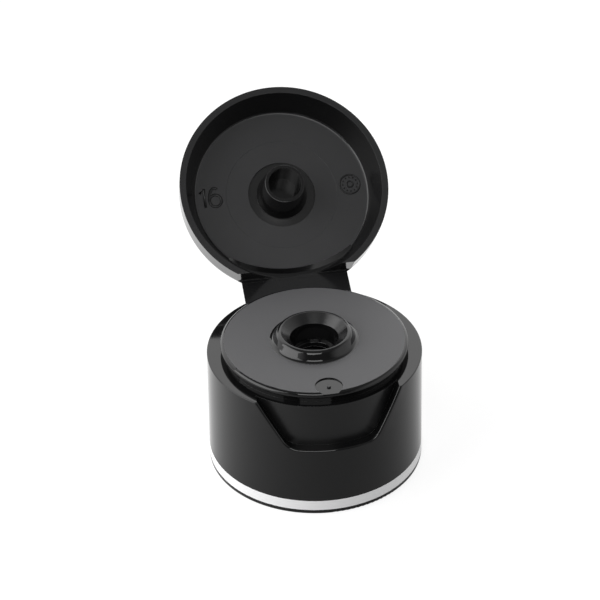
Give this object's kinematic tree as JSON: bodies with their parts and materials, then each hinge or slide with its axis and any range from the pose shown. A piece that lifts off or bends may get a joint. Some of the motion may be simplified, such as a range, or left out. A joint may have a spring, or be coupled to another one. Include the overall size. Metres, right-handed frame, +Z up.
{
  "type": "flip top cap",
  "caption": "Round screw-on squeeze bottle closure with a hinged flip lid, plug, raised spout, thumb notch and a foil band.",
  "frame": {"origin": "on the cap's axis at the plane of its foot", "axes": "+Z up along the cap's axis from foot to spout, +Y towards the hinge, -Y towards the thumb notch"},
  "size_m": [0.0334, 0.0585, 0.0432],
  "materials": {
    "black_plastic": "glossy moulded",
    "silver_foil": "bright hot-stamped foil"
  },
  "bodies": {
    "base": {"cap_body": "black_plastic", "silver_band": "silver_foil"},
    "strap": {"hinge_strap": "black_plastic"},
    "flap": {"lid": "black_plastic"}
  },
  "joints": [
    {"name": "strap_hinge", "type": "hinge", "parent": "base", "child": "strap", "pos_m": [0, 0.01414, 0.0189], "axis": [-1, 0, 0], "range_deg": [-70, 20]},
    {"name": "lid_hinge", "type": "hinge", "parent": "strap", "child": "flap", "pos_m": [0, 0.01809, 0.02034], "axis": [-1, 0, 0], "range_deg": [-70, 20]}
  ],
  "couplings": [
    {"joint": "lid_hinge", "follows": "strap_hinge", "ratio": 1}
  ]
}
